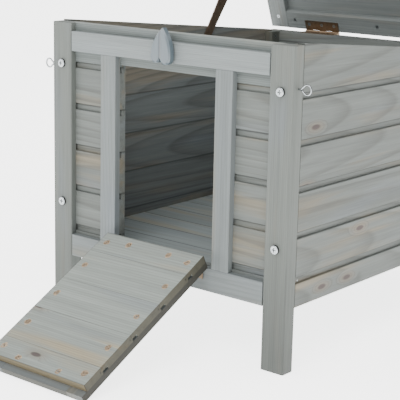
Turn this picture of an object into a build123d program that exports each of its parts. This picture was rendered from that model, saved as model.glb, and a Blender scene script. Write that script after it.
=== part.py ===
from build123d import *
import os
from math import acos, atan2, cos, degrees, hypot, radians, sin, sqrt, tan

os.makedirs("parts", exist_ok=True)

# Frame: X to the right, Y to the back, Z up, millimetres.
# The origin lies on the ground, in the middle of the four feet.

# Body
body_width = 420.0
body_depth = 532.0
leg_height = 424.0
leg_width = 36.0
leg_round = 2.0
leg_top_round = 1.2
slat_thickness = 9.5
slat_round = 0.8
board_thickness = 11.0
panel_bottom = 86.0
top_rail_height = 28.0
top_rail_base = 384.5
bottom_rail_height = 32.0
rail_end_gap = 1.0
stile_width = 28.0
opening_width = 176.0
lintel_height = 372.0
sill_height = 119.4
side_line_front = 427.7
roof_slope = 5.1
back_top_drop = 1.0

# Tongue and groove boards
board_pitch = 59.5
side_first_joint = 126.4
front_first_joint = 130.3
band_height = 8.3
band_depth = 4.0
tongue_thickness = 3.0
tongue_length = 5.0
tongue_fit = 0.2
joint_gap = 0.3
arris = 0.6
lower_arris = 1.4
wall_inner_drop = 3.3
joint_count = 5
side_end_gap = 1.0
rebate_width = 10.0
rebate_gap = 0.5

# Inside
cleat_width = 15.0
cleat_depth = 20.5
cleat_top_drop = 2.0
floor_top = 114.0
floor_first_joint = 84.0
floor_pitch = 51.2
floor_gap = 0.5
floor_side_gap = 0.5
bearer_width = 20.0
bearer_height = 15.0
inner_gap = 0.3
least_floor_board = 12.8

# Frame bolts and their nuts
bolt_inset = 18.5
bolt_heights = (165.0, 366.0)
back_bolt_drop = 58.0
bolt_radius = 3.0
bolt_head_radius = 6.2
bolt_head_height = 3.2
bolt_head_round = 1.6
bolt_cross_length = 6.0
bolt_cross_width = 1.3
bolt_cross_depth = 2.0
bolt_end = 2.0
bolt_clearance = 0.2
nut_flats = 10.0
nut_height = 5.0
thread_fit = 0.05

# Wood screws
screw_radius = 1.5
screw_head_radius = 3.1
screw_head_height = 2.0
screw_cross_length = 3.4
screw_cross_width = 0.87
screw_cross_depth = 1.0
screw_fit = 0.05
cleat_screw_length = 22.0
ramp_screw_length = 17.0
lid_screw_length = 14.0

# Ramp door
door_gap = 1.35
door_sill_gap = 1.0
door_length = 250.6
door_first_joint = 38.3
door_joint_count = 4
door_inner_drop = -1.0
door_batten_length = 260.3
door_batten_width = 28.0
door_batten_gap = 0.3
door_hinge_out = 2.7
door_hinge_height = 119.2
ramp_ground_gap = 0.2

# Butt hinges
leaf_thickness = 1.2
leaf_length = 66.5
leaf_reach = 19.0
barrel_radius = 2.5
pin_radius = 1.25
pin_fit = 0.05
knuckle_gap = 0.3
knuckle_count = 5
leaf_screw_reach = 12.4
leaf_screw_pitch = 25.0
leaf_screw_length = 9.0
leaf_gap = 0.8
knuckle_overlap = 0.1
lid_hinge_x = 110.0
ramp_leaf_length = 40.0
ramp_leaf_reach = 17.0
ramp_leaf_screw_pitch = 24.0
ramp_leaf_screw_reach = 10.0
ramp_hinge_x = 55.0

# Lid
lid_open_angle = 68.4
lid_overhang = 7.0
lid_front_overhang = 20.0
lid_back_start = 2.2
lid_front_rail_setback = 1.0
lid_stile_width = 36.0
lid_rail_width = 31.5
lid_rail_bevel = 3.0
lid_batten_thickness = 9.5
lid_rail_gap = 0.5
roof_thickness = 8.0
felt_thickness = 2.2
felt_back_lip = 3.0
felt_side_inset = 0.6
lid_rest_gap = 0.4
lid_screw_inset = 22.0
lid_screw_across = 16.0

# Lid stay
stay_wall_y = 305.9
stay_wall_height = 345.0
stay_lid_reach = 197.0
stay_lid_drop = 12.0
stay_thickness = 2.0
stay_wall_gap = 1.0
stay_link_gap = 0.5
stay_end_radius = 5.5
stay_elbow_radius = 10.5
stay_rivet_radius = 2.5
stay_rivet_head = 5.0
stay_head_height = 1.4
stay_head_gap = 0.3
bracket_thickness = 2.0
bracket_foot = 9.0
bracket_length = 34.0
bracket_screw_pitch = 20.0
bracket_screw_out = 5.4

# Eyes and hooks
eye_wire = 1.1
eye_shank = 1.0
eye_radius = 7.3
left_eye_height = 362.0
right_eye_height = 370.5
eye_inset = 10.8
eye_depth = 14.0
left_eye_out = 26.0
right_eye_out = 20.5
hook_wire = 1.1
hook_shank = 1.0
hook_post_radius = 1.8
hook_post_head = 4.0
hook_post_head_height = 1.8
hook_nose = 15.0
hook_bend = 4.0
hook_fit = 0.08
hook_play = 0.32

# Turning heart
heart_half_width = 17.3
heart_lobe_centre = 8.4
heart_lobe_level = -6.2
heart_tip = 33.0
heart_x = 3.0
heart_height = 398.5
heart_thickness = 9.0
heart_bevel = 2.2
heart_bevel_angle = 45.0
heart_tilt = 5.0
heart_stand_off = 3.5
boss_radius = 7.0
boss_gap = 0.3
spindle_radius = 2.0
spindle_fit = 0.08
spindle_head_radius = 4.2
spindle_head_height = 2.4
spindle_in_heart = 5.4

# Share of a board's thickness that the stay's rivet goes in, and past the parts that a cut clears
rivet_depth_share = 0.7
rivet_hole_share = 0.8
cut_overrun = 1.0

# Sizes that follow
half_width = body_width / 2
front_y = -body_depth / 2
back_y = body_depth / 2
leg_depth = slat_thickness + board_thickness
board_front_y = front_y + slat_thickness
board_back_y = back_y - slat_thickness
inner_front_y = front_y + leg_depth
inner_back_y = back_y - leg_depth
inner_half = half_width - board_thickness
board_half = half_width - leg_width + rebate_width - rebate_gap
rail_half = half_width - leg_width - rail_end_gap
half_opening = opening_width / 2


def side_line(y):
    return side_line_front - (y - front_y) * tan(radians(roof_slope))


back_top = side_line(inner_back_y) - back_top_drop
back_bolt_heights = (bolt_heights[0], back_top - back_bolt_drop)
side_joints = [side_first_joint + i * board_pitch for i in range(joint_count)]
front_joints = [front_first_joint + i * board_pitch for i in range(joint_count)]


def save(part, label):
    part.label = label
    export_step(part, f"parts/{label}.step")
    print(f"{label}: {len(part.solids())} solids, {part.volume / 1000:.2f} cm3")


# A countersunk screw along a plane's normal, which points out of its head.
# Grown by a clearance it is the hole that the screw sits in.
def screw_at(place, length, grow=0.0):
    with BuildPart() as screw:
        with BuildSketch(place):
            Circle(screw_radius + grow)
        extrude(amount=-length - grow)
        with BuildSketch(place.offset(-screw_head_height)):
            Circle(screw_radius + grow)
        with BuildSketch(place):
            Circle(screw_head_radius + grow)
        loft()
        if grow == 0.0:
            with BuildSketch(place):
                Rectangle(screw_cross_length, screw_cross_width)
                Rectangle(screw_cross_width, screw_cross_length)
            extrude(amount=-screw_cross_depth, mode=Mode.SUBTRACT)
    return screw.part


def screw_group(places, length):
    with BuildPart() as group:
        for place in places:
            add(screw_at(place, length))
    return group.part


# One tongue and groove board. The plane's X runs from the outer to the inner face, and its
# Y across the board. The recessed band is at the board's top, on the outer face.
def tongue_board(place, length, low, high, groove=True, tongue=True, inner_drop=wall_inner_drop):
    lip = band_depth - tongue_fit
    tongue_back = band_depth + tongue_thickness
    outer_low = low + joint_gap if groove else low
    inner_low = outer_low - inner_drop if groove else low
    inner_high = high - inner_drop if tongue else high
    face_high = high - band_height if tongue else high
    points = [(0, outer_low + lower_arris), (lower_arris, outer_low)]
    if groove:
        groove_top = low + tongue_length + joint_gap
        slot_back = tongue_back + tongue_fit
        points += [(lip, outer_low), (lip, groove_top), (slot_back, groove_top)]
        points += [(slot_back, inner_low)]
    points += [(board_thickness, inner_low), (board_thickness, inner_high)]
    if tongue:
        points += [(tongue_back, inner_high), (tongue_back, high + tongue_length)]
        points += [(band_depth, high + tongue_length), (band_depth, face_high)]
    points += [(arris, face_high), (0, face_high - arris)]
    with BuildPart() as board:
        with BuildSketch(place):
            with BuildLine():
                Polyline(*points, close=True)
            make_face()
        extrude(amount=length)
    return board.part


# A slat lying against the boards, its front edges lightly rounded.
def slat(low_corner, high_corner, rounded):
    size = [high_corner[i] - low_corner[i] for i in range(3)]
    middle = [(high_corner[i] + low_corner[i]) / 2 for i in range(3)]
    with BuildPart() as strip:
        with Locations(tuple(middle)):
            Box(*size)
        outer = strip.faces().sort_by(Axis.Y)[0 if rounded == "front" else -1]
        fillet(outer.edges(), slat_round)
    return strip.part


# Where the bolts, cleat screws, eyes and the heart's spindle go
def bolt_planes(side, at_front):
    y = front_y if at_front else back_y
    heights = bolt_heights if at_front else back_bolt_heights
    normal = (0, -1, 0) if at_front else (0, 1, 0)
    return [Plane((side * (half_width - bolt_inset), y, z), (1, 0, 0), normal) for z in heights]


def cleat_screw_planes(side, at_front):
    y = inner_front_y + cleat_depth / 2 if at_front else inner_back_y - cleat_depth / 2
    x = side * (inner_half - cleat_width)
    edges = side_joints + [side_line(y) - cleat_top_drop]
    lows = [floor_top] + side_joints
    heights = [(low + high) / 2 for low, high in zip(lows, edges)]
    return [Plane((x, y, z), (0, 1, 0), (-side, 0, 0)) for z in heights]


def cylinder_at(place, radius, high, low=0.0):
    with BuildPart() as rod:
        with BuildSketch(place.offset(low)):
            Circle(radius)
        extrude(amount=high - low)
    return rod.part


# A wire ring about an axis, started from the section at the given offset from its middle
def wire_ring(centre, axis_dir, start, tangent, wire):
    with BuildPart() as ring:
        with BuildSketch(Plane(centre + start, start, tangent)):
            Circle(wire)
        revolve(axis=Axis(centre, axis_dir))
    return ring.part


eye_outs = {-1: left_eye_out, 1: right_eye_out}
eye_heights = {-1: left_eye_height, 1: right_eye_height}


def eye_plane(side):
    return Plane((side * half_width, front_y + eye_inset, eye_heights[side]), (0, 1, 0), (side, 0, 0))


heart_across = (cos(radians(heart_tilt)), 0, -sin(radians(heart_tilt)))
heart_plane = Plane((heart_x, front_y, heart_height), heart_across, (0, -1, 0))

# Legs: a slat-thick outer face, a stouter back, and a rebate that takes the board ends
for side, side_name in ((-1, "left"), (1, "right")):
    for at_front, place_name in ((True, "front"), (False, "back")):
        outer_y = front_y if at_front else back_y
        inward = 1 if at_front else -1
        top = leg_height if at_front else back_top
        with BuildPart() as leg:
            with BuildSketch(Plane.XY):
                with Locations((side * (half_width - leg_width / 2), outer_y + inward * leg_depth / 2)):
                    Rectangle(leg_width, leg_depth)
            extrude(amount=top)
            outer_edges = leg.edges().filter_by(Axis.Z).sort_by(Axis.Y)
            outer_pair = outer_edges[:2] if at_front else outer_edges[-2:]
            fillet(outer_pair, leg_round)
            fillet(leg.faces().sort_by(Axis.Z)[-1].edges(), leg_top_round)
            rebate_x = side * (half_width - leg_width + rebate_width / 2)
            rebate_y = outer_y + inward * (slat_thickness + board_thickness / 2)
            with BuildSketch(Plane.XY.offset(panel_bottom)):
                with Locations((rebate_x, rebate_y)):
                    Rectangle(rebate_width, board_thickness)
            extrude(amount=top, mode=Mode.SUBTRACT)
            for place in bolt_planes(side, at_front):
                drill = cylinder_at(place, bolt_radius + bolt_clearance, cut_overrun, -leg_depth - cut_overrun)
                add(drill, mode=Mode.SUBTRACT)
            if at_front:
                eye_hole = cylinder_at(eye_plane(side), eye_shank + thread_fit, cut_overrun, -eye_depth)
                add(eye_hole, mode=Mode.SUBTRACT)
        save(leg.part, f"{place_name}_{side_name}_leg")

# Rails and door stiles in the plane of the legs
front_board_top = leg_height
rail_low = top_rail_base
spindle_hole = cylinder_at(heart_plane, spindle_radius + spindle_fit, cut_overrun,
                           -leg_depth - cut_overrun)
with BuildPart() as front_top_rail:
    add(slat((-rail_half, front_y, rail_low),
             (rail_half, board_front_y, rail_low + top_rail_height), "front"))
    add(spindle_hole, mode=Mode.SUBTRACT)
save(front_top_rail.part, "front_top_rail")


# Plane on the outer face of the bottom rail for the ramp hinge leaves' screws
def rail_leaf_plane(x):
    height = door_hinge_height - ramp_leaf_screw_reach
    return Plane((x, front_y - leaf_thickness, height), (1, 0, 0), (0, -1, 0))


def leaf_screw_offsets(pitch, count):
    return [(i - (count - 1) / 2) * pitch for i in range(count)]


ramp_screw_offsets = leaf_screw_offsets(ramp_leaf_screw_pitch, 2)
rail_leaf_screws = [rail_leaf_plane(side * ramp_hinge_x + x) for side in (-1, 1) for x in ramp_screw_offsets]
with BuildPart() as front_bottom_rail:
    add(slat((-rail_half, front_y, panel_bottom),
             (rail_half, board_front_y, panel_bottom + bottom_rail_height), "front"))
    for place in rail_leaf_screws:
        add(screw_at(place, leaf_screw_length, screw_fit), mode=Mode.SUBTRACT)
save(front_bottom_rail.part, "front_bottom_rail")

for side, side_name in ((-1, "left"), (1, "right")):
    inner_x = side * half_opening
    outer_x = side * (half_opening + stile_width)
    stile = slat((min(inner_x, outer_x), front_y, panel_bottom + bottom_rail_height),
                 (max(inner_x, outer_x), board_front_y, rail_low), "front")
    save(stile, f"{side_name}_door_stile")

lid_leaf_x = leaf_screw_offsets(leaf_screw_pitch, 3)
pin_y = back_y + barrel_radius
pin_z = back_top + leaf_thickness + leaf_gap / 2
wall_leaf_screws = [Plane((side * lid_hinge_x + x, pin_y - leaf_screw_reach, back_top + leaf_thickness),
                          (1, 0, 0), (0, 0, 1)) for side in (-1, 1) for x in lid_leaf_x]
with BuildPart() as back_top_rail:
    add(slat((-rail_half, board_back_y, back_top - top_rail_height), (rail_half, back_y, back_top), "back"))
    for place in wall_leaf_screws:
        add(screw_at(place, leaf_screw_length, screw_fit), mode=Mode.SUBTRACT)
save(back_top_rail.part, "back_top_rail")
save(slat((-rail_half, board_back_y, panel_bottom),
          (rail_half, back_y, panel_bottom + bottom_rail_height), "back"), "back_bottom_rail")


# Front boards: one along the sill, one along the lintel, and short ones beside the opening
def front_plane(x):
    return Plane((x, board_front_y, 0), (0, 1, 0), (1, 0, 0))


opening_middle_y = (board_front_y + inner_front_y) / 2
with BuildPart() as front_sill_board:
    add(tongue_board(front_plane(-board_half), 2 * board_half, panel_bottom, front_joints[0], groove=False))
    with Locations((0, opening_middle_y, sill_height + board_pitch / 2)):
        Box(opening_width, board_thickness * 2, board_pitch, mode=Mode.SUBTRACT)
save(front_sill_board.part, "front_sill_board")

with BuildPart() as front_top_board:
    add(tongue_board(front_plane(-board_half), 2 * board_half, front_joints[-1], front_board_top, tongue=False))
    with Locations((0, opening_middle_y, lintel_height - board_pitch / 2)):
        Box(opening_width, board_thickness * 2, board_pitch, mode=Mode.SUBTRACT)
    add(spindle_hole, mode=Mode.SUBTRACT)
save(front_top_board.part, "front_top_board")

bay_length = board_half - half_opening
for side_name, start_x in (("left", -board_half), ("right", half_opening)):
    with BuildPart() as bay_boards:
        for low, high in zip(front_joints, front_joints[1:]):
            add(tongue_board(front_plane(start_x), bay_length, low, high))
    save(bay_boards.part, f"front_{side_name}_boards")

# Side boards, the top one cut to the slope of the roof
side_length = inner_back_y - inner_front_y - 2 * side_end_gap
side_limits = [panel_bottom] + side_joints + [side_line_front]
roof_normal = (0, sin(radians(roof_slope)), cos(radians(roof_slope)))
roof_cut = Plane((0, front_y, side_line_front), (1, 0, 0), roof_normal)
for side, side_name in ((-1, "left"), (1, "right")):
    start_y = inner_back_y - side_end_gap if side < 0 else inner_front_y + side_end_gap
    side_plane = Plane((side * half_width, start_y, 0), (-side, 0, 0), (0, side, 0))
    with BuildPart() as side_boards:
        for number, (low, high) in enumerate(zip(side_limits, side_limits[1:])):
            is_top = number == joint_count
            add(tongue_board(side_plane, side_length, low, high, groove=number > 0, tongue=not is_top))
        split(bisect_by=roof_cut, keep=Keep.BOTTOM)
        for at_front in (True, False):
            for place in cleat_screw_planes(side, at_front):
                add(screw_at(place, cleat_screw_length, screw_fit), mode=Mode.SUBTRACT)
        if side < 0:
            hole_centre = (-inner_half, front_y + stay_wall_y, stay_wall_height)
            stay_hole_plane = Plane(hole_centre, (0, 1, 0), (1, 0, 0))
            hole_depth = board_thickness * rivet_hole_share
            stay_hole = cylinder_at(stay_hole_plane, stay_rivet_radius + thread_fit, cut_overrun,
                                    -hole_depth)
            add(stay_hole, mode=Mode.SUBTRACT)
    save(side_boards.part, f"{side_name}_side_boards")

# Back boards
back_limits = [panel_bottom] + side_joints + [back_top]
back_plane = Plane((board_half, board_back_y, 0), (0, -1, 0), (-1, 0, 0))
with BuildPart() as back_boards:
    for number, (low, high) in enumerate(zip(back_limits, back_limits[1:])):
        is_top = number == joint_count
        add(tongue_board(back_plane, 2 * board_half, low, high, groove=number > 0, tongue=not is_top))
    for place in wall_leaf_screws:
        add(screw_at(place, leaf_screw_length, screw_fit), mode=Mode.SUBTRACT)
save(back_boards.part, "back_boards")

# Corner cleats, which the legs are bolted to and the side boards screwed to
for side, side_name in ((-1, "left"), (1, "right")):
    for at_front, place_name in ((True, "front"), (False, "back")):
        y = inner_front_y + cleat_depth / 2 if at_front else inner_back_y - cleat_depth / 2
        top = side_line(y + cleat_depth / 2) - cleat_top_drop
        if at_front:
            top = leg_height - cleat_top_drop
        low = floor_top + inner_gap
        with BuildPart() as cleat:
            with Locations((side * (inner_half - cleat_width / 2), y, (low + top) / 2)):
                Box(cleat_width, cleat_depth, top - low)
            for place in bolt_planes(side, at_front):
                drill = cylinder_at(place, bolt_radius + bolt_clearance, 0.0,
                                    -leg_depth - cleat_depth - cut_overrun)
                add(drill, mode=Mode.SUBTRACT)
            for place in cleat_screw_planes(side, at_front):
                add(screw_at(place, cleat_screw_length, screw_fit), mode=Mode.SUBTRACT)
        save(cleat.part, f"{place_name}_{side_name}_cleat")

# Floor on two bearers
floor_bottom = floor_top - board_thickness
for side, side_name in ((-1, "left"), (1, "right")):
    with BuildPart() as bearer:
        with Locations((side * (inner_half - bearer_width / 2), 0, floor_bottom - bearer_height / 2)):
            Box(bearer_width, inner_back_y - inner_front_y - 2 * inner_gap, bearer_height)
    save(bearer.part, f"{side_name}_floor_bearer")

floor_start = inner_front_y + inner_gap
floor_end = inner_back_y - inner_gap
floor_edges = [floor_start]
next_edge = front_y + floor_first_joint
while next_edge < floor_end - least_floor_board:
    floor_edges.append(next_edge)
    next_edge += floor_pitch
floor_edges.append(floor_end)
with BuildPart() as floor_boards:
    for low, high in zip(floor_edges, floor_edges[1:]):
        with Locations((0, (low + high) / 2, floor_top - board_thickness / 2)):
            Box(2 * (inner_half - floor_side_gap), high - low - floor_gap, board_thickness)
    fillet(floor_boards.edges().filter_by(Axis.X).group_by(Axis.Z)[-1], arris)
save(floor_boards.part, "floor_boards")

# Bolts and nuts
bolt_reach = leg_depth + cleat_depth + nut_height + bolt_end
with BuildPart() as frame_bolts:
    for side in (-1, 1):
        for at_front in (True, False):
            for place in bolt_planes(side, at_front):
                with BuildPart(mode=Mode.PRIVATE) as bolt:
                    with BuildSketch(place):
                        Circle(bolt_radius)
                    extrude(amount=-bolt_reach)
                    with BuildSketch(place):
                        Circle(bolt_head_radius)
                    extrude(amount=bolt_head_height)
                    rims = bolt.edges().filter_by(GeomType.CIRCLE).sort_by(Axis.Y)
                    fillet(rims[0 if at_front else -1], bolt_head_round)
                    with BuildSketch(place.offset(bolt_head_height)):
                        Rectangle(bolt_cross_length, bolt_cross_width)
                        Rectangle(bolt_cross_width, bolt_cross_length)
                    extrude(amount=-bolt_cross_depth, mode=Mode.SUBTRACT)
                add(bolt.part)
                with BuildSketch(place.offset(-leg_depth - cleat_depth)):
                    RegularPolygon(nut_flats / 2, 6, major_radius=False)
                    Circle(bolt_radius + thread_fit, mode=Mode.SUBTRACT)
                extrude(amount=-nut_height)
save(frame_bolts.part, "frame_bolts")

cleat_screws = [place for side in (-1, 1) for at_front in (True, False)
                for place in cleat_screw_planes(side, at_front)]
with BuildPart() as wall_screws:
    add(screw_group(cleat_screws, cleat_screw_length))
    add(screw_group(wall_leaf_screws + rail_leaf_screws, leaf_screw_length))
save(wall_screws.part, "wall_screws")

# Screw eyes on the outer sides of the front legs
for side, side_name in ((-1, "left"), (1, "right")):
    out = eye_outs[side]
    ring_middle = out - eye_radius
    place = eye_plane(side)
    ring_origin = place.origin + place.z_dir * ring_middle
    with BuildPart() as eye:
        with BuildSketch(place.offset(-eye_depth)):
            Circle(eye_shank)
        extrude(amount=eye_depth + ring_middle - eye_radius + eye_wire)
        add(wire_ring(ring_origin, (0, 1, 0), Vector(0, 0, eye_radius - eye_wire), (1, 0, 0), eye_wire))
    save(eye.part, f"{side_name}_screw_eye")

# Heart that turns over the door's edge, point up when it is out of the way
lobe_radius = heart_half_width - heart_lobe_centre
cleft_level = heart_lobe_level - sqrt(lobe_radius ** 2 - heart_lobe_centre ** 2)
rise = heart_tip - heart_lobe_level
flank_radius = (heart_half_width ** 2 + rise ** 2) / (2 * heart_half_width)
flank_centre = heart_half_width - flank_radius
flank_angle = atan2(rise, -flank_centre) / 2
flank_middle = (flank_centre + flank_radius * cos(flank_angle),
                heart_lobe_level + flank_radius * sin(flank_angle))
lobe_low = (heart_lobe_centre, heart_lobe_level - lobe_radius)
with BuildSketch() as heart_outline:
    with BuildLine():
        ThreePointArc((0, cleft_level), lobe_low, (heart_half_width, heart_lobe_level))
        ThreePointArc((heart_half_width, heart_lobe_level), flank_middle, (0, heart_tip))
        mirror(about=Plane.YZ)
    make_face()
with BuildPart() as heart_body:
    add(heart_outline.sketch)
    extrude(amount=heart_thickness - heart_bevel)
    with BuildSketch(Plane.XY.offset(heart_thickness - heart_bevel)):
        add(heart_outline.sketch)
    extrude(amount=heart_bevel, taper=heart_bevel_angle)
with BuildPart() as turn_knob:
    add(heart_plane.offset(heart_stand_off).location * heart_body.part)
    with BuildSketch(heart_plane.offset(boss_gap)):
        Circle(boss_radius)
    extrude(amount=heart_stand_off - boss_gap)
    spindle_reach = heart_stand_off + spindle_in_heart
    with BuildSketch(heart_plane):
        Circle(spindle_radius + thread_fit)
    extrude(amount=spindle_reach, mode=Mode.SUBTRACT)
save(turn_knob.part, "turn_knob")

with BuildPart() as knob_spindle:
    with BuildSketch(heart_plane.offset(-leg_depth - boss_gap)):
        Circle(spindle_radius)
    extrude(amount=leg_depth + boss_gap + spindle_reach - thread_fit)
    with BuildSketch(heart_plane.offset(-leg_depth - boss_gap)):
        Circle(spindle_head_radius)
    extrude(amount=-spindle_head_height)
save(knob_spindle.part, "knob_spindle")

# Ramp door. It is set out closed and turned about its hinge until its far end meets the ground.
door_base = sill_height + door_sill_gap
corner_out = door_hinge_out
corner_up = door_base + door_batten_length - door_hinge_height
corner_reach = hypot(corner_out, corner_up)
ramp_turn = atan2(corner_out, corner_up) + acos(-(door_hinge_height - ramp_ground_gap) / corner_reach)
ramp_pivot = (front_y - door_hinge_out, door_hinge_height)
door_half = half_opening - door_gap
door_inward = (0, cos(ramp_turn), sin(ramp_turn))
door_along = (0, -sin(ramp_turn), cos(ramp_turn))


def door_point(x, along, depth):
    closed_y = inner_front_y - depth - ramp_pivot[0]
    closed_z = door_base + along - ramp_pivot[1]
    y = ramp_pivot[0] + closed_y * cos(ramp_turn) - closed_z * sin(ramp_turn)
    z = ramp_pivot[1] + closed_y * sin(ramp_turn) + closed_z * cos(ramp_turn)
    return (x, y, z)


def door_section_plane(x, depth):
    return Plane(door_point(x, 0, depth), door_inward, (1, 0, 0))


def door_top_plane(x, along):
    return Plane(door_point(x, along, 0), (1, 0, 0), door_inward)


door_joints = [door_first_joint + i * board_pitch for i in range(door_joint_count)]
door_limits = [0.0] + door_joints + [door_length]
batten_middle = door_half - door_batten_width / 2
cross_middle = door_batten_width / 2
board_middles = [(low + high) / 2 for low, high in zip(door_limits, door_limits[1:])]
ramp_screws = [door_top_plane(side * batten_middle, along) for along in board_middles for side in (-1, 1)]
ramp_screws += [door_top_plane(side * batten_middle / 2, along)
                for along in (cross_middle, door_length - cross_middle / 2) for side in (-1, 1)]
for number, (low, high) in enumerate(zip(door_limits, door_limits[1:]), start=1):
    is_last = number == len(door_limits) - 1
    with BuildPart() as ramp_board:
        add(tongue_board(door_section_plane(-door_half, board_thickness), 2 * door_half, low, high,
                         groove=number > 1, tongue=not is_last, inner_drop=door_inner_drop))
        for place in ramp_screws:
            add(screw_at(place, ramp_screw_length, screw_fit), mode=Mode.SUBTRACT)
    save(ramp_board.part, f"ramp_board_{number}")


def door_leaf_plane(x):
    along = ramp_leaf_screw_reach + door_hinge_height - door_base
    place = Plane(door_point(x, along, leg_depth + leaf_thickness), (1, 0, 0), door_inward)
    return Plane(place.origin, (1, 0, 0), -place.z_dir)


door_leaf_screws = [door_leaf_plane(side * ramp_hinge_x + x) for side in (-1, 1) for x in ramp_screw_offsets]


def door_strip(low_x, high_x, low, high):
    with BuildPart() as strip:
        with BuildSketch(door_section_plane(low_x, leg_depth)):
            with Locations((slat_thickness / 2, (low + high) / 2)):
                Rectangle(slat_thickness, high - low)
        extrude(amount=high_x - low_x)
        outer_edges = strip.edges().filter_by(Axis.X).sort_by(Axis(door_point(0, 0, 0), door_inward))[:2]
        fillet(outer_edges, slat_round)
        for place in ramp_screws:
            add(screw_at(place, ramp_screw_length, screw_fit), mode=Mode.SUBTRACT)
        for place in door_leaf_screws:
            add(screw_at(place, leaf_screw_length, screw_fit), mode=Mode.SUBTRACT)
    return strip.part


for side, side_name in ((-1, "left"), (1, "right")):
    inner_x = side * (door_half - door_batten_width)
    outer_x = side * door_half
    strip = door_strip(min(inner_x, outer_x), max(inner_x, outer_x), 0.0, door_batten_length)
    save(strip, f"ramp_{side_name}_batten")
cross_half = door_half - door_batten_width - door_batten_gap
save(door_strip(-cross_half, cross_half, 0.0, door_batten_width), "ramp_hinge_batten")
save(door_strip(-cross_half, cross_half, door_batten_length - door_batten_width, door_batten_length),
     "ramp_foot_batten")
with BuildPart() as ramp_screw_set:
    add(screw_group(ramp_screws, ramp_screw_length))
    add(screw_group(door_leaf_screws, leaf_screw_length))
save(ramp_screw_set.part, "ramp_screws")


# A butt hinge leaf. The plane's origin is the middle of the pin, its X runs along the pin,
# its Y out along the leaf, and its normal from the leaf's back to its open side.
def hinge_leaf(place, length, reach, low, odd, screws, fit):
    knuckle = length / knuckle_count
    with BuildPart() as leaf:
        with BuildSketch(place.offset(low)):
            with Locations((0, (reach + barrel_radius + knuckle_gap) / 2)):
                Rectangle(length, reach - barrel_radius - knuckle_gap)
        extrude(amount=leaf_thickness)
        for number in range(knuckle_count):
            if (number % 2 == 1) == odd:
                middle = (number + 0.5) * knuckle - length / 2
                width = knuckle - knuckle_gap
                with BuildSketch(place.offset(low)):
                    with Locations((middle, (barrel_radius + knuckle_gap + knuckle_overlap) / 2)):
                        Rectangle(width, barrel_radius + knuckle_gap + knuckle_overlap)
                extrude(amount=leaf_thickness)
                start = place.origin + place.x_dir * (middle - width / 2)
                barrel_plane = Plane(start, place.y_dir, place.x_dir)
                with BuildSketch(barrel_plane):
                    Circle(barrel_radius)
                extrude(amount=width)
        bore_plane = Plane(place.origin - place.x_dir * length, place.y_dir, place.x_dir)
        with BuildSketch(bore_plane):
            Circle(pin_radius + fit)
        extrude(amount=2 * length, mode=Mode.SUBTRACT)
        for screw_place, screw_length in screws:
            add(screw_at(screw_place, screw_length, screw_fit), mode=Mode.SUBTRACT)
    return leaf.part


def hinge_pin(origin, length):
    start = (origin[0] - length / 2, origin[1], origin[2])
    return cylinder_at(Plane(start, (0, 1, 0), (1, 0, 0)), pin_radius, length)


# Lid. Its underside is set out from the hinge pin, at the angle where the stay holds it.
lean = radians(lid_open_angle)
lid_along = (0, -cos(lean), sin(lean))
lid_up = (0, sin(lean), cos(lean))
lid_under = (0, -sin(lean), -cos(lean))
rest_rise = side_line(inner_front_y) + lid_rest_gap - pin_z - leaf_thickness - leaf_gap / 2
closed_slope = atan2(rest_rise, pin_y - inner_front_y)
lid_travel = lid_open_angle - degrees(closed_slope)
lid_half = half_width + lid_overhang
lid_end = (pin_y - front_y + lid_front_overhang) / cos(closed_slope)
under_height = leaf_thickness + leaf_gap / 2


def lid_point(x, along, height):
    y = pin_y + along * lid_along[1] + height * lid_up[1]
    z = pin_z + along * lid_along[2] + height * lid_up[2]
    return (x, y, z)


# Plane in the lid: X across the lid, Y away from the hinge, normal out of the underside
def lid_plane(x, along, height):
    return Plane(lid_point(x, along, height), (1, 0, 0), lid_under)


lid_leaf_screws = [lid_plane(side * lid_hinge_x + x, leaf_screw_reach, leaf_gap / 2)
                   for side in (-1, 1) for x in lid_leaf_x]
stile_middle = lid_half - lid_stile_width / 2
rail_middle = lid_back_start + lid_rail_width / 2
far_rail_end = (pin_y - front_y - lid_front_rail_setback) / cos(closed_slope)
far_rail_middle = far_rail_end - lid_rail_width / 2
rail_half_length = lid_half - lid_stile_width - lid_rail_gap
lid_screws = [lid_plane(side * stile_middle, along, under_height)
              for side in (-1, 1)
              for along in (lid_screw_inset, lid_end / 2, lid_end - lid_screw_inset)]
lid_screws += [lid_plane(x, along, under_height)
               for x in (lid_screw_across - rail_half_length, 0.0, rail_half_length - lid_screw_across)
               for along in (rail_middle, far_rail_middle)]

# Stay: two links that lie in line when the lid is up, and fold into the body as it closes
stay_wall_point = (front_y + stay_wall_y, stay_wall_height)
stay_height = under_height - stay_lid_drop
stay_lid_point = lid_point(0, stay_lid_reach, stay_height)[1:]
closed_along = (-cos(closed_slope), sin(closed_slope))
closed_up = (sin(closed_slope), cos(closed_slope))
stay_lid_closed = (pin_y + stay_lid_reach * closed_along[0] + stay_height * closed_up[0],
                   pin_z + stay_lid_reach * closed_along[1] + stay_height * closed_up[1])
stay_span = hypot(stay_lid_point[0] - stay_wall_point[0], stay_lid_point[1] - stay_wall_point[1])
link_length = stay_span / 2
elbow_point = tuple((a + b) / 2 for a, b in zip(stay_wall_point, stay_lid_point))
closed_gap = (stay_lid_closed[0] - stay_wall_point[0], stay_lid_closed[1] - stay_wall_point[1])
closed_span = hypot(*closed_gap)
elbow_drop = sqrt(link_length ** 2 - (closed_span / 2) ** 2)
elbow_closed = ((stay_wall_point[0] + stay_lid_closed[0]) / 2 + elbow_drop * closed_gap[1] / closed_span,
                (stay_wall_point[1] + stay_lid_closed[1]) / 2 - elbow_drop * closed_gap[0] / closed_span)


def heading(start, end):
    return degrees(atan2(end[1] - start[1], end[0] - start[0]))


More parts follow.
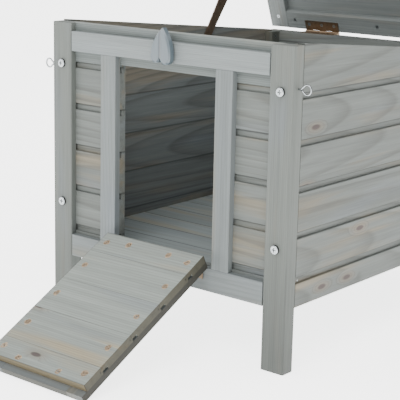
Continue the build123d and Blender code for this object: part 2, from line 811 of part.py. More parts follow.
lower_turn = heading(stay_wall_point, elbow_closed) - heading(stay_wall_point, elbow_point)
upper_turn = heading(stay_lid_closed, elbow_closed) - heading(stay_lid_point, elbow_point)
upper_turn = (upper_turn + 180) % 360 - 180 - lid_travel
upper_turn = (upper_turn + 180) % 360 - 180

wall_face_x = -inner_half
lower_link_x = wall_face_x + stay_wall_gap
upper_link_x = lower_link_x + stay_thickness + stay_link_gap
lug_x = upper_link_x + stay_thickness + stay_link_gap
bracket_screws = [lid_plane(lug_x + bracket_screw_out, stay_lid_reach + x, under_height - bracket_thickness)
                  for x in leaf_screw_offsets(bracket_screw_pitch, 2)]


def lid_holes():
    with BuildPart() as holes:
        for place in lid_screws:
            add(screw_at(place, lid_screw_length, screw_fit))
        for place in lid_leaf_screws + bracket_screws:
            add(screw_at(place, leaf_screw_length, screw_fit))
    return holes.part


lid_hole_tool = lid_holes()


# Hooks hang from posts on the lid's side edges, each in the plane of its leg's eye
hook_along = (pin_y - front_y - eye_inset - hook_bend) / cos(closed_slope)
hook_height = under_height + lid_batten_thickness / 2


def hook_plane(side):
    return Plane(lid_point(side * lid_half, hook_along, hook_height), (0, 1, 0), (side, 0, 0))


def hook_level(side):
    return eye_outs[side] - eye_radius - lid_overhang


# From the post down to the middle of the eye, with the lid closed
def hook_length(side):
    post_height = pin_z + hook_along * sin(closed_slope) + hook_height * cos(closed_slope)
    return post_height - eye_heights[side]


for side, side_name in ((-1, "left"), (1, "right")):
    with BuildPart() as lid_stile:
        with BuildSketch(lid_plane(side * stile_middle, (lid_back_start + lid_end) / 2, under_height)):
            Rectangle(lid_stile_width, lid_end - lid_back_start)
        extrude(amount=-lid_batten_thickness)
        fillet(lid_stile.faces().sort_by(Axis(lid_point(0, 0, 0), lid_under))[-1].edges(), slat_round)
        add(lid_hole_tool, mode=Mode.SUBTRACT)
        post_hole = cylinder_at(hook_plane(side), hook_post_radius + thread_fit, 0.0, -eye_depth)
        add(post_hole, mode=Mode.SUBTRACT)
    save(lid_stile.part, f"lid_{side_name}_stile")

for rail_name, middle, bevel_side in (("back", rail_middle, -1), ("front", far_rail_middle, 0)):
    with BuildPart() as lid_rail:
        with BuildSketch(lid_plane(0, middle, under_height)):
            Rectangle(2 * rail_half_length, lid_rail_width)
        extrude(amount=-lid_batten_thickness)
        under_face = lid_rail.faces().sort_by(Axis(lid_point(0, 0, 0), lid_under))[-1]
        along_axis = Axis(lid_point(0, 0, 0), lid_along)
        inner_edge = under_face.edges().filter_by(Axis.X).sort_by(along_axis)[bevel_side]
        chamfer(inner_edge, lid_rail_bevel)
        add(lid_hole_tool, mode=Mode.SUBTRACT)
    save(lid_rail.part, f"lid_{rail_name}_rail")

panel_height = under_height + lid_batten_thickness
with BuildPart() as roof_panel:
    with BuildSketch(lid_plane(0, (lid_back_start + lid_end) / 2, panel_height)):
        Rectangle(2 * lid_half, lid_end - lid_back_start)
    extrude(amount=-roof_thickness)
    add(lid_hole_tool, mode=Mode.SUBTRACT)
save(roof_panel.part, "roof_panel")

felt_height = panel_height + roof_thickness
felt_start = lid_back_start - felt_back_lip
with BuildPart() as roof_felt:
    with BuildSketch(lid_plane(0, (felt_start + lid_end) / 2, felt_height)):
        Rectangle(2 * (lid_half - felt_side_inset), lid_end - felt_start)
    extrude(amount=-felt_thickness)
save(roof_felt.part, "roof_felt")

with BuildPart() as lid_screw_set:
    add(screw_group(lid_screws, lid_screw_length))
    add(screw_group(lid_leaf_screws + bracket_screws, leaf_screw_length))
save(lid_screw_set.part, "lid_screws")

# Lid hinges
with BuildPart() as lid_hinge_lid_leaves:
    for side in (-1, 1):
        place = Plane(lid_point(side * lid_hinge_x, 0, 0), (1, 0, 0), lid_under)
        holes = [(screw, leaf_screw_length) for screw in lid_leaf_screws]
        add(hinge_leaf(place, leaf_length, leaf_reach, -under_height, False, holes, pin_fit))
save(lid_hinge_lid_leaves.part, "lid_hinge_lid_leaves")

with BuildPart() as lid_hinge_wall_leaves:
    for side in (-1, 1):
        place = Plane((side * lid_hinge_x, pin_y, pin_z), (-1, 0, 0), (0, 0, 1))
        holes = [(screw, leaf_screw_length) for screw in wall_leaf_screws]
        add(hinge_leaf(place, leaf_length, leaf_reach, -under_height, True, holes, pin_fit))
save(lid_hinge_wall_leaves.part, "lid_hinge_wall_leaves")

with BuildPart() as lid_hinge_pins:
    for side in (-1, 1):
        add(hinge_pin((side * lid_hinge_x, pin_y, pin_z), leaf_length))
save(lid_hinge_pins.part, "lid_hinge_pins")

# Ramp hinges
with BuildPart() as ramp_hinge_door_leaves:
    for side in (-1, 1):
        origin = (side * ramp_hinge_x, *ramp_pivot)
        place = Plane(origin, (-1, 0, 0), door_inward)
        holes = [(screw, leaf_screw_length) for screw in door_leaf_screws]
        low = door_hinge_out - leaf_thickness
        add(hinge_leaf(place, ramp_leaf_length, ramp_leaf_reach, low, False, holes, pin_fit))
save(ramp_hinge_door_leaves.part, "ramp_hinge_door_leaves")

with BuildPart() as ramp_hinge_rail_leaves:
    for side in (-1, 1):
        place = Plane((side * ramp_hinge_x, *ramp_pivot), (1, 0, 0), (0, 1, 0))
        holes = [(screw, leaf_screw_length) for screw in rail_leaf_screws]
        low = door_hinge_out - leaf_thickness
        add(hinge_leaf(place, ramp_leaf_length, ramp_leaf_reach, low, True, holes, pin_fit))
save(ramp_hinge_rail_leaves.part, "ramp_hinge_rail_leaves")

with BuildPart() as ramp_hinge_pins:
    for side in (-1, 1):
        add(hinge_pin((side * ramp_hinge_x, *ramp_pivot), ramp_leaf_length))
save(ramp_hinge_pins.part, "ramp_hinge_pins")


# A flat tapered link with round ends and a rivet's bore at its start
def stay_link(x, start, end, start_radius, end_radius):
    length = hypot(end[0] - start[0], end[1] - start[1])
    along = (0, (end[0] - start[0]) / length, (end[1] - start[1]) / length)
    place = Plane((x, start[0], start[1]), along, (1, 0, 0))
    tilt = acos((start_radius - end_radius) / length)
    corners = [(start_radius * cos(tilt), start_radius * sin(tilt)),
               (length + end_radius * cos(tilt), end_radius * sin(tilt)),
               (length + end_radius * cos(tilt), -end_radius * sin(tilt)),
               (start_radius * cos(tilt), -start_radius * sin(tilt))]
    with BuildPart() as link:
        with BuildSketch(place):
            with BuildLine():
                Line(corners[0], corners[1])
                ThreePointArc(corners[1], (length + end_radius, 0), corners[2])
                Line(corners[2], corners[3])
                ThreePointArc(corners[3], (-start_radius, 0), corners[0])
            make_face()
            Circle(stay_rivet_radius + pin_fit, mode=Mode.SUBTRACT)
        extrude(amount=stay_thickness)
    return link.part


def yz_plane(x, point):
    return Plane((x, point[0], point[1]), (0, 1, 0), (1, 0, 0))


with BuildPart() as stay_lower_link:
    add(stay_link(lower_link_x, stay_wall_point, elbow_point, stay_end_radius, stay_elbow_radius))
    tail = stay_wall_gap - stay_head_gap
    add(cylinder_at(yz_plane(lower_link_x, elbow_point), stay_rivet_head, 0.0, -tail))
save(stay_lower_link.part, "stay_lower_link")

with BuildPart() as stay_upper_link:
    add(stay_link(upper_link_x, stay_lid_point, elbow_point, stay_end_radius, stay_elbow_radius))
    link_face = upper_link_x + stay_thickness
    add(cylinder_at(yz_plane(link_face, elbow_point), stay_rivet_head, stay_head_height))
save(stay_upper_link.part, "stay_upper_link")

# Wall rivet with its spacer, head and plain shank, which the lower link turns on
with BuildPart() as stay_wall_rivet:
    place = yz_plane(wall_face_x, stay_wall_point)
    head_start = stay_wall_gap + stay_thickness + stay_head_gap
    add(cylinder_at(place, stay_rivet_radius, head_start, -board_thickness * rivet_depth_share))
    add(cylinder_at(place, stay_rivet_head, stay_wall_gap - stay_head_gap))
    add(cylinder_at(place, stay_rivet_head, head_start + stay_head_height, head_start))
save(stay_wall_rivet.part, "stay_wall_rivet")

# Bracket under the lid's left stile: a foot, a lug, and the rivet that the upper link turns on
with BuildPart() as stay_bracket:
    with BuildSketch(lid_plane(lug_x + bracket_foot / 2, stay_lid_reach, under_height)):
        Rectangle(bracket_foot, bracket_length)
    extrude(amount=bracket_thickness)
    lug_depth = stay_lid_drop + stay_end_radius
    with BuildSketch(Plane(lid_point(lug_x, stay_lid_reach, under_height), lid_along, (1, 0, 0))):
        with BuildLine():
            Line((-bracket_length / 2, 0), (bracket_length / 2, 0))
            Line((bracket_length / 2, 0), (stay_end_radius, lug_depth - stay_end_radius))
            ThreePointArc((stay_end_radius, lug_depth - stay_end_radius), (0, lug_depth),
                          (-stay_end_radius, lug_depth - stay_end_radius))
            Line((-stay_end_radius, lug_depth - stay_end_radius), (-bracket_length / 2, 0))
        make_face()
    extrude(amount=bracket_thickness)
    for place in bracket_screws:
        add(screw_at(place, leaf_screw_length, screw_fit), mode=Mode.SUBTRACT)
    rivet_place = yz_plane(lug_x, stay_lid_point)
    rivet_reach = stay_link_gap + stay_thickness + stay_head_gap
    add(cylinder_at(rivet_place, stay_rivet_radius, bracket_thickness, -rivet_reach))
    add(cylinder_at(rivet_place, stay_rivet_head, -rivet_reach, -rivet_reach - stay_head_height))
save(stay_bracket.part, "stay_bracket")

# Hook posts and hooks
with BuildPart() as hook_posts:
    for side in (-1, 1):
        place = hook_plane(side)
        level = hook_level(side)
        add(cylinder_at(place, hook_post_radius, level + 2 * hook_wire, -eye_depth))
        head_low = level + hook_wire + hook_play
        add(cylinder_at(place, hook_post_head, head_low + hook_post_head_height, head_low))
        add(cylinder_at(place, hook_post_head, level - hook_wire - hook_play, 0.0))
save(hook_posts.part, "hook_posts")

for side, side_name in ((-1, "left"), (1, "right")):
    post = hook_plane(side)
    level = hook_level(side)
    centre = post.origin + post.z_dir * level
    ring_radius = hook_post_radius + hook_fit + hook_wire
    bend_start = centre - Vector(0, 0, hook_length(side) - hook_bend)
    bend_middle = bend_start - Vector(0, hook_bend, 0)
    nose_start = bend_middle - Vector(0, hook_bend, 0)
    with BuildPart() as hook:
        add(wire_ring(centre, (1, 0, 0), Vector(0, ring_radius, 0), (0, 0, 1), hook_wire))
        with BuildSketch(Plane(centre - Vector(0, 0, ring_radius), (1, 0, 0), (0, 0, -1))):
            Circle(hook_shank)
        extrude(amount=hook_length(side) - hook_bend - ring_radius)
        with BuildSketch(Plane(bend_start, (1, 0, 0), (0, 0, -1))):
            Circle(hook_shank)
        revolve(axis=Axis(bend_middle, (-1, 0, 0)), revolution_arc=180)
        with BuildSketch(Plane(nose_start, (1, 0, 0), (0, 0, 1))):
            Circle(hook_shank)
        extrude(amount=hook_nose - hook_bend)
    save(hook.part, f"{side_name}_hook")

# What the joints need
print("ramp pivot y z:", [round(value, 3) for value in ramp_pivot], "turn", round(degrees(ramp_turn), 3))
print("lid pin y z:", round(pin_y, 3), round(pin_z, 3), "travel", round(lid_travel, 3))
print("stay wall point:", [round(v, 3) for v in stay_wall_point], "turn", round(lower_turn, 3))
print("stay lid point:", [round(v, 3) for v in stay_lid_point], "turn", round(upper_turn, 3))
print("elbow:", [round(v, 3) for v in elbow_point], "closed", [round(v, 3) for v in elbow_closed])
for side in (-1, 1):
    hook_point = hook_plane(side).origin + hook_plane(side).z_dir * hook_level(side)
    print("hook length:", round(hook_length(side), 2))
    print("hook post:", [round(v, 3) for v in hook_point])
print("lid end:", round(lid_end, 2), "closed slope", round(degrees(closed_slope), 3))
print("back top:", round(back_top, 3))
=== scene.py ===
import bpy
import bmesh
import math
import random
from mathutils import Matrix, Vector


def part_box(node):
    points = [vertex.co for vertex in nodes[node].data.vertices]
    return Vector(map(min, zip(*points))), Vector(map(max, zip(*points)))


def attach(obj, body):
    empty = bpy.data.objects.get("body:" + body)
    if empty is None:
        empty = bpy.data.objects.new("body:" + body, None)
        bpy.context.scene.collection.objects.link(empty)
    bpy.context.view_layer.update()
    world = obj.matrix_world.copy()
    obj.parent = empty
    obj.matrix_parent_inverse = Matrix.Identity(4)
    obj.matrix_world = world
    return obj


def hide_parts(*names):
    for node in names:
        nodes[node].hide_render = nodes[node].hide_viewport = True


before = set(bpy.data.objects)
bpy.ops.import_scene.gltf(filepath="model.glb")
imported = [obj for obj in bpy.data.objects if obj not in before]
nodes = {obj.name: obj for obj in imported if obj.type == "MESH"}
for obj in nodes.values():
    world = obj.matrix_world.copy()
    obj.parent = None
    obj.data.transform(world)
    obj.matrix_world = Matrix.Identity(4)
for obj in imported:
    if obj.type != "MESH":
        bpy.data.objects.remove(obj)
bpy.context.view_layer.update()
print("model loaded:", len(nodes), "nodes")

# Plain helpers


def hexColour(code, alpha=1.0):
    # sRGB hex to the linear values that shaders take
    values = [int(code[i:i + 2], 16) / 255 for i in (1, 3, 5)]
    linear = [v / 12.92 if v <= 0.04045 else ((v + 0.055) / 1.055) ** 2.4 for v in values]
    return (*linear, alpha)


def addNode(material, kind, settings=None, links=None):
    # settings: attribute or socket values; links: socket name or index -> source output
    node = material.node_tree.nodes.new(kind)
    for key, value in (settings or {}).items():
        if isinstance(key, str) and hasattr(node, key):
            setattr(node, key, value)
        else:
            node.inputs[key].default_value = value
    for key, source in (links or {}).items():
        material.node_tree.links.new(source, node.inputs[key])
    return node


def newMaterial(name):
    material = bpy.data.materials.new(name)
    material.use_nodes = True
    material.node_tree.nodes.clear()
    return material


def setRamp(node, stops):
    # stops: [(place, hex)], the first two reuse the ramp's own
    ramp = node.color_ramp
    while len(ramp.elements) < len(stops):
        ramp.elements.new(0.5)
    for element, (place, code) in zip(ramp.elements, stops):
        element.position = place
        element.color = hexColour(code)
    return node


def placeData(name, data):
    # an object for a mesh, lamp or camera, shown in the scene
    added = bpy.data.objects.new(name, data)
    bpy.context.scene.collection.objects.link(added)
    return added


def dress(nodeName, material):
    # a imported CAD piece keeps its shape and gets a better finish
    mesh = nodes[nodeName].data
    mesh.materials.clear()
    mesh.materials.append(material)


# Camera, set from the photograph's vanishing points; 400 x 400 px
cameraSet = {"place": (1.0764, -1.4974, 0.5851), "lens": 111.53,
             "forward": (-0.6171, 0.7526, -0.2299), "right": (0.770, 0.6377, 0.021)}
cameraData = bpy.data.cameras.new("camera")
cameraData.lens = cameraSet["lens"]
cameraData.sensor_width = 36.0
cameraData.clip_start = 0.05
camera = placeData("camera", cameraData)
forward = Vector(cameraSet["forward"]).normalized()
rightWay = Vector(cameraSet["right"])
rightWay = (rightWay - forward * rightWay.dot(forward)).normalized()
upWay = rightWay.cross(forward)
turn = Matrix((rightWay, upWay, -forward)).transposed().to_4x4()
camera.matrix_world = Matrix.Translation(cameraSet["place"]) @ turn
bpy.context.scene.camera = camera
print("camera set")

# Wood. Every timber piece is fir with a thin grey water stain, so the growth rings, knots and
# the warm wood show through as thin dark lines, pale tan streaks and purple-grey spots.
# base and warm are the two ends of the stain's colour, late is the dark line of a growth ring,
# ringWidth is in metres, streak is how unevenly the stain was taken up

woodLooks = {
    "leg": {"base": "#5E625E", "warm": "#646056", "late": "#464947", "ringWidth": 0.0019, "rings": 0.30,
            "streak": 0.10},
    "rail": {"base": "#636868", "warm": "#68665C", "late": "#4B5250", "ringWidth": 0.0021, "rings": 0.26,
             "streak": 0.09},
    "wall": {"base": "#5B5F5C", "warm": "#696253", "late": "#42433F", "ringWidth": 0.0024, "rings": 0.50,
             "streak": 0.13},
    "floor": {"base": "#737A7A", "warm": "#7D7B70", "late": "#5C6260", "ringWidth": 0.0026, "rings": 0.22,
              "streak": 0.08},
    "cleat": {"base": "#484B46", "warm": "#514B3F", "late": "#353733", "ringWidth": 0.0020, "rings": 0.35,
              "streak": 0.14},
    "ramp": {"base": "#7E847F", "warm": "#8D836B", "late": "#60635D", "ringWidth": 0.0027, "rings": 0.40,
             "streak": 0.12},
    "lid": {"base": "#606564", "warm": "#6A665C", "late": "#494D4B", "ringWidth": 0.0024, "rings": 0.28,
            "streak": 0.12},
}


# The grain, alike in every piece. Scales are (along, across, through) in cells per metre.
firGrain = {"knotCells": (5.5, 15.0, 0.0), "knotChance": 0.3, "haloReach": 0.17, "haloFull": 0.03,
            "coreReach": 0.062, "coreFull": 0.035, "halo": "#71614E", "core": "#3D3232",
            "haloAmount": 0.40, "coreAmount": 0.85, "ringBulge": 0.006,
            "sway": 0.006, "pithAcross": 0.045, "pithNear": 0.025, "pithFar": 0.080,
            "leastSlope": 0.002, "mostSlope": 0.022, "swayCells": (1.6, 5.0, 5.0),
            "fibreCells": (12.0, 420.0, 420.0), "streakCells": (2.6, 130.0, 130.0),
            "warmCells": (3.2, 38.0, 38.0), "blueCells": (5.0, 22.0, 22.0), "blue": "#636A73",
            "warmAmount": 0.85, "blueAmount": 0.30, "jointReach": 0.0020, "jointFull": 0.0006,
            "jointShade": 0.52, "edgeReach": 0.0018, "edgeFull": 0.0006, "edgeShade": 0.50}


def stainedFir(name, look, fibresAlong, boardsAcross="Z", tilt=0.0, pitch=0.0, firstJoint=0.0, seed=0.0,
               knots=1.0, tone=1.0, warmShare=0.5, dimSides=(), edges=(), soaked=None):
    # sawn and planed fir brushed with a matt stain: soft low gloss, fibres raised a hair
    # dimSides: (axis, place, way, hex) multiplies the stain past that place: painted shade on inside faces,
    # the darkened faces below a painted-highlight edge, and cut faces
    # edges: places across the board where it meets its neighbour, darkened there as painted shadow in the
    # joint
    # soaked: (place, place, share) along the fibres: painted shade, darker towards the piece's lower end
    # where less light reaches
    setup = woodLooks[look]
    wood = newMaterial(name)
    coords = addNode(wood, "ShaderNodeTexCoord")
    place = coords.outputs["Object"]
    if tilt:
        place = addNode(wood, "ShaderNodeMapping", {"Rotation": (tilt, 0, 0)}, {"Vector": place}).outputs[0]
    parts = addNode(wood, "ShaderNodeSeparateXYZ", links={0: place}).outputs
    throughAxis = [axis for axis in "XYZ" if axis not in (fibresAlong, boardsAcross)][0]
    along, across, through = parts[fibresAlong], parts[boardsAcross], parts[throughAxis]

    def combine(first, second, kind="ADD"):
        # one math step on two sockets or numbers
        node = addNode(wood, "ShaderNodeMath", {"operation": kind})
        for slot, value in ((0, first), (1, second)):
            if isinstance(value, (int, float)):
                node.inputs[slot].default_value = value
            else:
                wood.node_tree.links.new(value, node.inputs[slot])
        return node.outputs[0]

    def spread(value, low, high, toLow=0.0, toHigh=1.0, smooth=False):
        return addNode(wood, "ShaderNodeMapRange",
                       {"interpolation_type": "SMOOTHSTEP" if smooth else "LINEAR", "From Min": low,
                        "From Max": high, "To Min": toLow, "To Max": toHigh}, {"Value": value}).outputs[0]

    def noiseAt(scale, detail=3.0, rough=0.55, warp=0.0):
        spot = addNode(wood, "ShaderNodeMapping", {"Scale": scale}, {"Vector": laid}).outputs[0]
        return addNode(wood, "ShaderNodeTexNoise", {"Scale": 1.0, "Detail": detail, "Roughness": rough,
                                                    "Distortion": warp}, {"Vector": spot}).outputs["Fac"]

    def tint(amount, under, code):
        return addNode(wood, "ShaderNodeMix", {"data_type": "RGBA", 7: hexColour(code)},
                       {0: amount, 6: under}).outputs[2]

    # each board is its own piece of the trunk
    inBoard = across
    if pitch:
        boards = combine(combine(across, firstJoint, "SUBTRACT"), pitch, "DIVIDE")
        chance = addNode(wood, "ShaderNodeTexWhiteNoise", {"noise_dimensions": "1D"},
                         {"W": combine(combine(boards, 0.0, "FLOOR"), seed)})
        inBoard = combine(combine(combine(boards, 0.0, "FRACT"), 0.5, "SUBTRACT"), pitch, "MULTIPLY")
    else:
        chance = addNode(wood, "ShaderNodeTexWhiteNoise", {"noise_dimensions": "1D", "W": seed})
    luck = addNode(wood, "ShaderNodeSeparateColor", links={0: chance.outputs["Color"]}).outputs
    ahead = combine(along, combine(luck[0], 9.0, "MULTIPLY"))
    laid = addNode(wood, "ShaderNodeCombineXYZ", links={0: ahead, 1: across, 2: through}).outputs[0]

    # knots: cells 180 mm long and 67 mm across hold one or none, 5 to 8 mm wide, in a warm halo
    knotSpot = addNode(wood, "ShaderNodeMapping", {"Scale": firGrain["knotCells"]},
                       {"Vector": laid}).outputs[0]
    cells = addNode(wood, "ShaderNodeTexVoronoi",
                    {"voronoi_dimensions": "2D", "Scale": 1.0, "Randomness": 0.9}, {"Vector": knotSpot})
    cellLuck = addNode(wood, "ShaderNodeSeparateColor", links={0: cells.outputs["Color"]}).outputs[1]
    knotShare = firGrain["knotChance"] * knots
    isKnot = spread(cellLuck, 1.0 - knotShare, 1.01 - knotShare)
    near = cells.outputs["Distance"]
    halo = combine(spread(near, firGrain["haloReach"], firGrain["haloFull"], smooth=True),
                   isKnot, "MULTIPLY")
    core = combine(spread(near, firGrain["coreReach"], firGrain["coreFull"], smooth=True),
                   isKnot, "MULTIPLY")

    # growth rings: distance from a pith that lies off the board and slopes slowly along it,
    # which draws straight lines on some boards and long pointed arches on others
    sway = spread(noiseAt(firGrain["swayCells"], 1.0), 0.0, 1.0, -firGrain["sway"], firGrain["sway"])
    pithAcross = spread(luck[1], 0.0, 1.0, -firGrain["pithAcross"], firGrain["pithAcross"])
    pithDeep = spread(luck[2], 0.0, 1.0, firGrain["pithNear"], firGrain["pithFar"])
    sideways = combine(combine(inBoard, pithAcross), sway)
    slope = spread(luck[0], 0.0, 1.0, firGrain["leastSlope"], firGrain["mostSlope"])
    deep = combine(combine(along, slope, "MULTIPLY"), combine(pithDeep, through))
    squares = combine(combine(sideways, sideways, "MULTIPLY"), combine(deep, deep, "MULTIPLY"))
    fromPith = combine(squares, 0.5, "POWER")
    bulged = combine(fromPith, combine(halo, firGrain["ringBulge"], "MULTIPLY"))
    ringed = combine(combine(bulged, setup["ringWidth"], "DIVIDE"), 0.0, "FRACT")
    lateLine = addNode(wood, "ShaderNodeValToRGB", links={0: ringed})
    setRamp(lateLine, [(0.0, "#000000"), (0.50, "#3A3A3A"), (0.86, "#FFFFFF"), (0.96, "#000000")])

    # fibres 2 mm across and 80 mm long; the real ones are finer and would not show
    fibres = noiseAt(firGrain["fibreCells"], 4.0, 0.7)
    # stain taken up in 8 mm streaks, and warm wood showing in 26 mm ones, all along the fibres
    streaks = noiseAt(firGrain["streakCells"], 3.0, 0.55)
    warmPatch = noiseAt(firGrain["warmCells"], 3.0, 0.5, 0.4)
    bluish = noiseAt(firGrain["blueCells"], 2.0, 0.5)

    warmEdge = combine(0.80 - 0.30 * warmShare, combine(luck[1], 0.16, "MULTIPLY"), "SUBTRACT")
    warmAmount = combine(spread(combine(warmPatch, warmEdge, "SUBTRACT"), -0.06, 0.16, smooth=True),
                         firGrain["warmAmount"], "MULTIPLY")
    stain = addNode(wood, "ShaderNodeMix", {"data_type": "RGBA", 6: hexColour(setup["base"]),
                                            7: hexColour(setup["warm"])}, {0: warmAmount}).outputs[2]
    blueAmount = combine(spread(bluish, 0.55, 0.75, smooth=True), firGrain["blueAmount"], "MULTIPLY")
    stain = tint(blueAmount, stain, firGrain["blue"])
    stain = tint(combine(lateLine.outputs["Color"], setup["rings"], "MULTIPLY"), stain, setup["late"])
    stain = tint(combine(halo, firGrain["haloAmount"], "MULTIPLY"), stain, firGrain["halo"])
    stain = tint(combine(core, firGrain["coreAmount"], "MULTIPLY"), stain, firGrain["core"])
    fibreShade = spread(fibres, 0.3, 0.7, 0.86, 1.12)
    streakShade = spread(streaks, 0.3, 0.7, 1.0 - setup["streak"], 1.0 + setup["streak"] * 0.6)
    shade = combine(fibreShade, streakShade, "MULTIPLY")
    shade = combine(shade, spread(luck[2], 0.0, 1.0, 0.93 * tone, 1.05 * tone), "MULTIPLY")
    # painted shadow in the board joints: darker within 2 mm of each joint and of each given edge
    if pitch:
        fromMiddle = combine(inBoard, 0.0, "ABSOLUTE")
        jointShadow = spread(fromMiddle, pitch / 2 - firGrain["jointReach"], pitch / 2 - firGrain["jointFull"],
                          1.0, firGrain["jointShade"], True)
        shade = combine(shade, jointShadow, "MULTIPLY")
    for edge in edges:
        fromEdge = combine(combine(across, edge, "SUBTRACT"), 0.0, "ABSOLUTE")
        jointShadow = spread(fromEdge, firGrain["edgeFull"], firGrain["edgeReach"],
                          firGrain["edgeShade"], 1.0, True)
        shade = combine(shade, jointShadow, "MULTIPLY")
    # painted shade, darker towards the bottom
    if soaked:
        shade = combine(shade, spread(along, soaked[0], soaked[1], soaked[2], 1.0), "MULTIPLY")
    for dimAxis, dimPlace, way, dimCode in dimSides:
        past = combine(parts[dimAxis], dimPlace, "GREATER_THAN" if way > 0 else "LESS_THAN")
        stain = addNode(wood, "ShaderNodeMix", {"data_type": "RGBA", "blend_type": "MULTIPLY",
                                                7: hexColour(dimCode)}, {0: past, 6: stain}).outputs[2]
    colour = addNode(wood, "ShaderNodeVectorMath", {"operation": "SCALE"}, {0: stain, "Scale": shade})
    shader = addNode(wood, "ShaderNodeBsdfPrincipled", {"Roughness": 0.70, "Specular IOR Level": 0.30},
                     {"Base Color": colour.outputs[0]})
    relief = combine(fibres, combine(lateLine.outputs["Color"], 0.5, "MULTIPLY"))
    bump = addNode(wood, "ShaderNodeBump", {"Strength": 0.25, "Distance": 0.0004}, {"Height": relief})
    wood.node_tree.links.new(bump.outputs[0], shader.inputs["Normal"])
    addNode(wood, "ShaderNodeOutputMaterial", links={"Surface": shader.outputs[0]})
    return wood


# Boards, 59.5 mm apart. The first joint is 4 mm higher at the front than at the sides.
boardSet = {"pitch": 0.0595, "sideJoint": 0.1264, "frontJoint": 0.1303, "wallInside": 0.2005,
            "indoors": "#F6F8FF", "litEdgeDepth": 0.0006, "faceShade": "#CDD1D4"}
sidePitch = {"pitch": boardSet["pitch"], "firstJoint": boardSet["sideJoint"]}
frontPitch = {"pitch": boardSet["pitch"], "firstJoint": boardSet["frontJoint"]}
dress("right_side_boards", stainedFir("stainedFirRightWall", "wall", "Y", seed=3.0, knots=1.6, tone=0.96,
                                      **sidePitch))
# the wall's inside face is multiplied darker and bluer: painted shade inside the box
dress("left_side_boards", stainedFir("stainedFirLeftWall", "wall", "Y", seed=12.0, warmShare=0.7, tone=1.2,
                                     dimSides=[("X", -boardSet["wallInside"], 1, boardSet["indoors"])],
                                     **sidePitch))
frontWood = stainedFir("stainedFirFront", "wall", "X", seed=21.0, knots=0.6, **frontPitch)
for name in ("front_left_boards", "front_right_boards"):
    dress(name, frontWood)
dress("back_boards", stainedFir("stainedFirBack", "wall", "X", seed=31.0, **sidePitch))


def woodFor(name, look, fibresAlong, seed, **more):
    # one finish for one piece, named after it
    words = "".join(word.title() for word in name.split("_"))
    dress(name, stainedFir("stainedFir" + words, look, fibresAlong, seed=seed, **more))


# the legs get painted shade towards their feet
for number, corner in enumerate(("front_left", "front_right", "back_left", "back_right")):
    woodFor(corner + "_leg", "leg", "Z", 40.0 + number, boardsAcross="X", knots=0.25, warmShare=0.35,
            soaked=(0.02, 0.20, 0.66 if number == 1 else 0.82), tone=0.93 if number == 1 else 0.97)
    woodFor(corner + "_cleat", "cleat", "Z", 70.0 + number, boardsAcross="X", knots=0.2)
# the top board is drawn 1.7 times lighter and its faces are darkened back, leaving a painted highlight on
# its upper edge, which faces the light
woodFor("front_top_board", "wall", "X", 22.0, knots=0.3, warmShare=0.3, tone=1.7,
        dimSides=[("Z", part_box("front_top_board")[1][2] - boardSet["litEdgeDepth"], -1,
                   boardSet["faceShade"])])
woodFor("front_sill_board", "wall", "X", 23.0, knots=0.3)
woodFor("left_door_stile", "rail", "Z", 50.0, boardsAcross="X", knots=0.2, tone=1.06)
woodFor("right_door_stile", "rail", "Z", 51.0, boardsAcross="X", knots=0.2, warmShare=0.4)
woodFor("front_top_rail", "rail", "X", 60.0, knots=0.2, tone=1.18)
woodFor("front_bottom_rail", "rail", "X", 61.0, knots=0.2, tone=0.98)
woodFor("back_top_rail", "rail", "X", 62.0, knots=0.5)
woodFor("back_bottom_rail", "rail", "X", 63.0, knots=0.5)
woodFor("floor_boards", "floor", "X", 80.0, boardsAcross="Y", pitch=0.0512, firstJoint=-0.182, knots=0.2)
woodFor("left_floor_bearer", "floor", "Y", 85.0)
woodFor("right_floor_bearer", "floor", "Y", 86.0)

# Ramp: its walking face slopes 27.66 degrees, so the pattern is levelled first.
# The boards' sawn ends and the battens' outer edges are browner, and the lowest edge is bare wood.
rampSet = {"tilt": 27.66, "sideFace": 0.0863, "sideShade": "#867D6E", "endFace": 0.0004,
           "bareEnd": "#FFE0B4", "battenEnd": "#B9B2A4", "warmShares": (0.15, 0.1, 0.3, 0.45, 0.2)}
rampTilt = math.radians(-rampSet["tilt"])
rampEdges = [("X", way * rampSet["sideFace"], way, rampSet["sideShade"]) for way in (1, -1)]
rampTurn = Matrix.Rotation(rampTilt, 3, "X")


def rampSpan(name):
    # where the piece starts and ends along the levelled slope
    places = [(rampTurn @ vertex.co).y for vertex in nodes[name].data.vertices]
    return min(places), max(places)


for number, warm in enumerate(rampSet["warmShares"], start=1):
    name = f"ramp_board_{number}"
    isLowest = number == len(rampSet["warmShares"])
    cut = [("Y", rampSpan(name)[0] + rampSet["endFace"], -1, rampSet["bareEnd"])] if isLowest else []
    woodFor(name, "ramp", "X", 90.0 + number, boardsAcross="Y", tilt=rampTilt, knots=0.7, warmShare=warm,
            dimSides=rampEdges + cut, edges=rampSpan(name), tone=0.97)
for number, name in enumerate(("ramp_left_batten", "ramp_right_batten")):
    woodFor(name, "rail", "Y", 100.0 + number, boardsAcross="X", tilt=rampTilt, knots=0.2, tone=0.72,
            dimSides=rampEdges)
for number, name in enumerate(("ramp_hinge_batten", "ramp_foot_batten")):
    woodFor(name, "rail", "X", 104.0 + number, boardsAcross="Y", tilt=rampTilt, knots=0.2, tone=0.82,
            dimSides=rampEdges + [("Y", rampSpan(name)[0] + rampSet["endFace"], -1, rampSet["battenEnd"])])

# Lid: its underside leans at 68.4 degrees
lidTilt = math.radians(68.4)
for number, name in enumerate(("lid_left_stile", "lid_right_stile")):
    woodFor(name, "lid", "Y", 110.0 + number, boardsAcross="X", tilt=lidTilt, knots=0.3, tone=1.05)
for number, name in enumerate(("lid_back_rail", "lid_front_rail")):
    woodFor(name, "lid", "X", 114.0 + number, boardsAcross="Y", tilt=lidTilt, knots=0.4)
woodFor("roof_panel", "lid", "X", 118.0, boardsAcross="Y", tilt=lidTilt, pitch=0.09, knots=0.5, tone=0.95)
print("woods done")

# Metals and the rest


